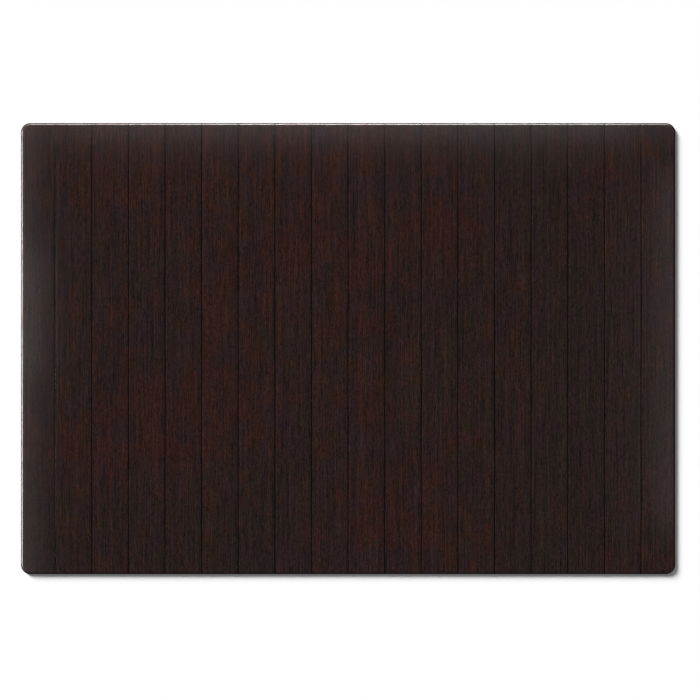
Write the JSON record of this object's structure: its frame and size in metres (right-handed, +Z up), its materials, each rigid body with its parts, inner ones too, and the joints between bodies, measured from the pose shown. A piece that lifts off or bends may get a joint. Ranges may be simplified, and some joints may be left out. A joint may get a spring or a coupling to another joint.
{
  "type": "chair mat",
  "caption": "Rectangular roll-up chair mat of dark stained bamboo slats bonded to a felt backing, with rounded corners and a rounded-over rim.",
  "frame": {"origin": "middle of the mat's underside, on the floor, where it lies flat", "axes": "+X along the mat's length, across the slats; +Y along the slats; +Z up, out of the bamboo face"},
  "size_m": [1.788, 1.232, 0.008],
  "materials": {
    "bamboo": "dark cherry stained bamboo under a low satin lacquer",
    "felt": "matt charcoal needle felt"
  },
  "bodies": {
    "board_01": {"slat_01": "bamboo", "felt_01": "felt"},
    "board_02": {"slat_02": "bamboo", "felt_02": "felt"},
    "board_03": {"slat_03": "bamboo", "felt_03": "felt"},
    "board_04": {"slat_04": "bamboo", "felt_04": "felt"},
    "board_05": {"slat_05": "bamboo", "felt_05": "felt"},
    "board_06": {"slat_06": "bamboo", "felt_06": "felt"},
    "board_07": {"slat_07": "bamboo", "felt_07": "felt"},
    "board_08": {"slat_08": "bamboo", "felt_08": "felt"},
    "board_09": {"slat_09": "bamboo", "felt_09": "felt"},
    "board_10": {"slat_10": "bamboo", "felt_10": "felt"},
    "board_11": {"slat_11": "bamboo", "felt_11": "felt"},
    "board_12": {"slat_12": "bamboo", "felt_12": "felt"},
    "board_13": {"slat_13": "bamboo", "felt_13": "felt"},
    "board_14": {"slat_14": "bamboo", "felt_14": "felt"},
    "board_15": {"slat_15": "bamboo", "felt_15": "felt"},
    "board_16": {"slat_16": "bamboo", "felt_16": "felt"},
    "board_17": {"slat_17": "bamboo", "felt_17": "felt"},
    "board_18": {"slat_18": "bamboo", "felt_18": "felt"}
  },
  "joints": [
    {"name": "seam_01", "type": "hinge", "parent": "board_02", "child": "board_01", "pos_m": [-0.8, 0, 0.0015], "axis": [0, -1, 0], "range_deg": [0, 43]},
    {"name": "seam_02", "type": "hinge", "parent": "board_03", "child": "board_02", "pos_m": [-0.7, 0, 0.0015], "axis": [0, -1, 0], "range_deg": [0, 43.1]},
    {"name": "seam_03", "type": "hinge", "parent": "board_04", "child": "board_03", "pos_m": [-0.6, 0, 0.0015], "axis": [0, -1, 0], "range_deg": [0, 43.4]},
    {"name": "seam_04", "type": "hinge", "parent": "board_05", "child": "board_04", "pos_m": [-0.5, 0, 0.0015], "axis": [0, -1, 0], "range_deg": [0, 43.8]},
    {"name": "seam_05", "type": "hinge", "parent": "board_06", "child": "board_05", "pos_m": [-0.4, 0, 0.0015], "axis": [0, -1, 0], "range_deg": [0, 44.4]},
    {"name": "seam_06", "type": "hinge", "parent": "board_07", "child": "board_06", "pos_m": [-0.3, 0, 0.0015], "axis": [0, -1, 0], "range_deg": [0, 45.2]},
    {"name": "seam_07", "type": "hinge", "parent": "board_08", "child": "board_07", "pos_m": [-0.2, 0, 0.0015], "axis": [0, -1, 0], "range_deg": [0, 46.2]},
    {"name": "seam_08", "type": "hinge", "parent": "board_09", "child": "board_08", "pos_m": [-0.1, 0, 0.0015], "axis": [0, -1, 0], "range_deg": [0, 47.4]},
    {"name": "seam_09", "type": "hinge", "parent": "board_09", "child": "board_10", "pos_m": [0, 0, 0.0015], "axis": [0, 1, 0], "range_deg": [0, 48.8]},
    {"name": "seam_10", "type": "hinge", "parent": "board_10", "child": "board_11", "pos_m": [0.1, 0, 0.0015], "axis": [0, 1, 0], "range_deg": [0, 50.3]},
    {"name": "seam_11", "type": "hinge", "parent": "board_11", "child": "board_12", "pos_m": [0.2, 0, 0.0015], "axis": [0, 1, 0], "range_deg": [0, 52]},
    {"name": "seam_12", "type": "hinge", "parent": "board_12", "child": "board_13", "pos_m": [0.3, 0, 0.0015], "axis": [0, 1, 0], "range_deg": [0, 53.9]},
    {"name": "seam_13", "type": "hinge", "parent": "board_13", "child": "board_14", "pos_m": [0.4, 0, 0.0015], "axis": [0, 1, 0], "range_deg": [0, 55.9]},
    {"name": "seam_14", "type": "hinge", "parent": "board_14", "child": "board_15", "pos_m": [0.5, 0, 0.0015], "axis": [0, 1, 0], "range_deg": [0, 58.2]},
    {"name": "seam_15", "type": "hinge", "parent": "board_15", "child": "board_16", "pos_m": [0.6, 0, 0.0015], "axis": [0, 1, 0], "range_deg": [0, 60.6]},
    {"name": "seam_16", "type": "hinge", "parent": "board_16", "child": "board_17", "pos_m": [0.7, 0, 0.0015], "axis": [0, 1, 0], "range_deg": [0, 63.2]},
    {"name": "seam_17", "type": "hinge", "parent": "board_17", "child": "board_18", "pos_m": [0.8, 0, 0.0015], "axis": [0, 1, 0], "range_deg": [0, 66]}
  ]
}
